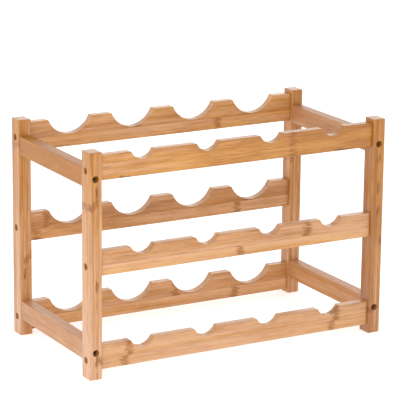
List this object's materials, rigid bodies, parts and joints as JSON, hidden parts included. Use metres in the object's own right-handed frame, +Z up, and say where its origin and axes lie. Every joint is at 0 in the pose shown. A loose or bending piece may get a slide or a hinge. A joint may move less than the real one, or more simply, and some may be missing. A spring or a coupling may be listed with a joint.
{
  "type": "wine rack",
  "caption": "Counter-top bamboo wine rack: posts joined by notched neck rails in front, notched body rails behind and plain side rails, each rail end screwed and dowelled.",
  "frame": {"origin": "on the floor plane, under the middle of the rack's width and depth", "axes": "+X along the width to the right as seen from the neck side, +Y from the neck side to the back, +Z up"},
  "size_m": [0.42, 0.22, 0.284],
  "materials": {
    "post_bamboo": "satin lacquer over vertical bamboo strips",
    "neck_rail_bamboo": "satin lacquer over bamboo, grain along the rail",
    "body_rail_bamboo": "satin lacquer over bamboo, grain along the rail",
    "side_rail_bamboo": "satin lacquer over bamboo, grain along the rail",
    "screw_zinc": "yellow zinc plating, satin",
    "dowel_beech": "raw, unfinished"
  },
  "bodies": {
    "root": {"post_front_left": "post_bamboo", "post_front_right": "post_bamboo", "post_back_left": "post_bamboo", "post_back_right": "post_bamboo", "front_rail_top": "neck_rail_bamboo", "front_rail_middle": "neck_rail_bamboo", "front_rail_bottom": "neck_rail_bamboo", "back_rail_top": "body_rail_bamboo", "back_rail_middle": "body_rail_bamboo", "back_rail_bottom": "body_rail_bamboo", "side_rail_top_left": "side_rail_bamboo", "side_rail_top_right": "side_rail_bamboo", "side_rail_bottom_left": "side_rail_bamboo", "side_rail_bottom_right": "side_rail_bamboo", "screw_front_rail_top_left": "screw_zinc", "screw_front_rail_top_right": "screw_zinc", "screw_front_rail_middle_left": "screw_zinc", "screw_front_rail_middle_right": "screw_zinc", "screw_front_rail_bottom_left": "screw_zinc", "screw_front_rail_bottom_right": "screw_zinc", "screw_back_rail_top_left": "screw_zinc", "screw_back_rail_top_right": "screw_zinc", "screw_back_rail_middle_left": "screw_zinc", "screw_back_rail_middle_right": "screw_zinc", "screw_back_rail_bottom_left": "screw_zinc", "screw_back_rail_bottom_right": "screw_zinc", "screw_side_rail_top_left_front": "screw_zinc", "screw_side_rail_top_left_back": "screw_zinc", "screw_side_rail_top_right_front": "screw_zinc", "screw_side_rail_top_right_back": "screw_zinc", "screw_side_rail_bottom_left_front": "screw_zinc", "screw_side_rail_bottom_left_back": "screw_zinc", "screw_side_rail_bottom_right_front": "screw_zinc", "screw_side_rail_bottom_right_back": "screw_zinc", "dowel_front_rail_top_left": "dowel_beech", "dowel_front_rail_top_right": "dowel_beech", "dowel_front_rail_middle_left": "dowel_beech", "dowel_front_rail_middle_right": "dowel_beech", "dowel_front_rail_bottom_left": "dowel_beech", "dowel_front_rail_bottom_right": "dowel_beech", "dowel_back_rail_top_left": "dowel_beech", "dowel_back_rail_top_right": "dowel_beech", "dowel_back_rail_middle_left": "dowel_beech", "dowel_back_rail_middle_right": "dowel_beech", "dowel_back_rail_bottom_left": "dowel_beech", "dowel_back_rail_bottom_right": "dowel_beech", "dowel_side_rail_top_left_front": "dowel_beech", "dowel_side_rail_top_left_back": "dowel_beech", "dowel_side_rail_top_right_front": "dowel_beech", "dowel_side_rail_top_right_back": "dowel_beech", "dowel_side_rail_bottom_left_front": "dowel_beech", "dowel_side_rail_bottom_left_back": "dowel_beech", "dowel_side_rail_bottom_right_front": "dowel_beech", "dowel_side_rail_bottom_right_back": "dowel_beech"}
  },
  "joints": []
}
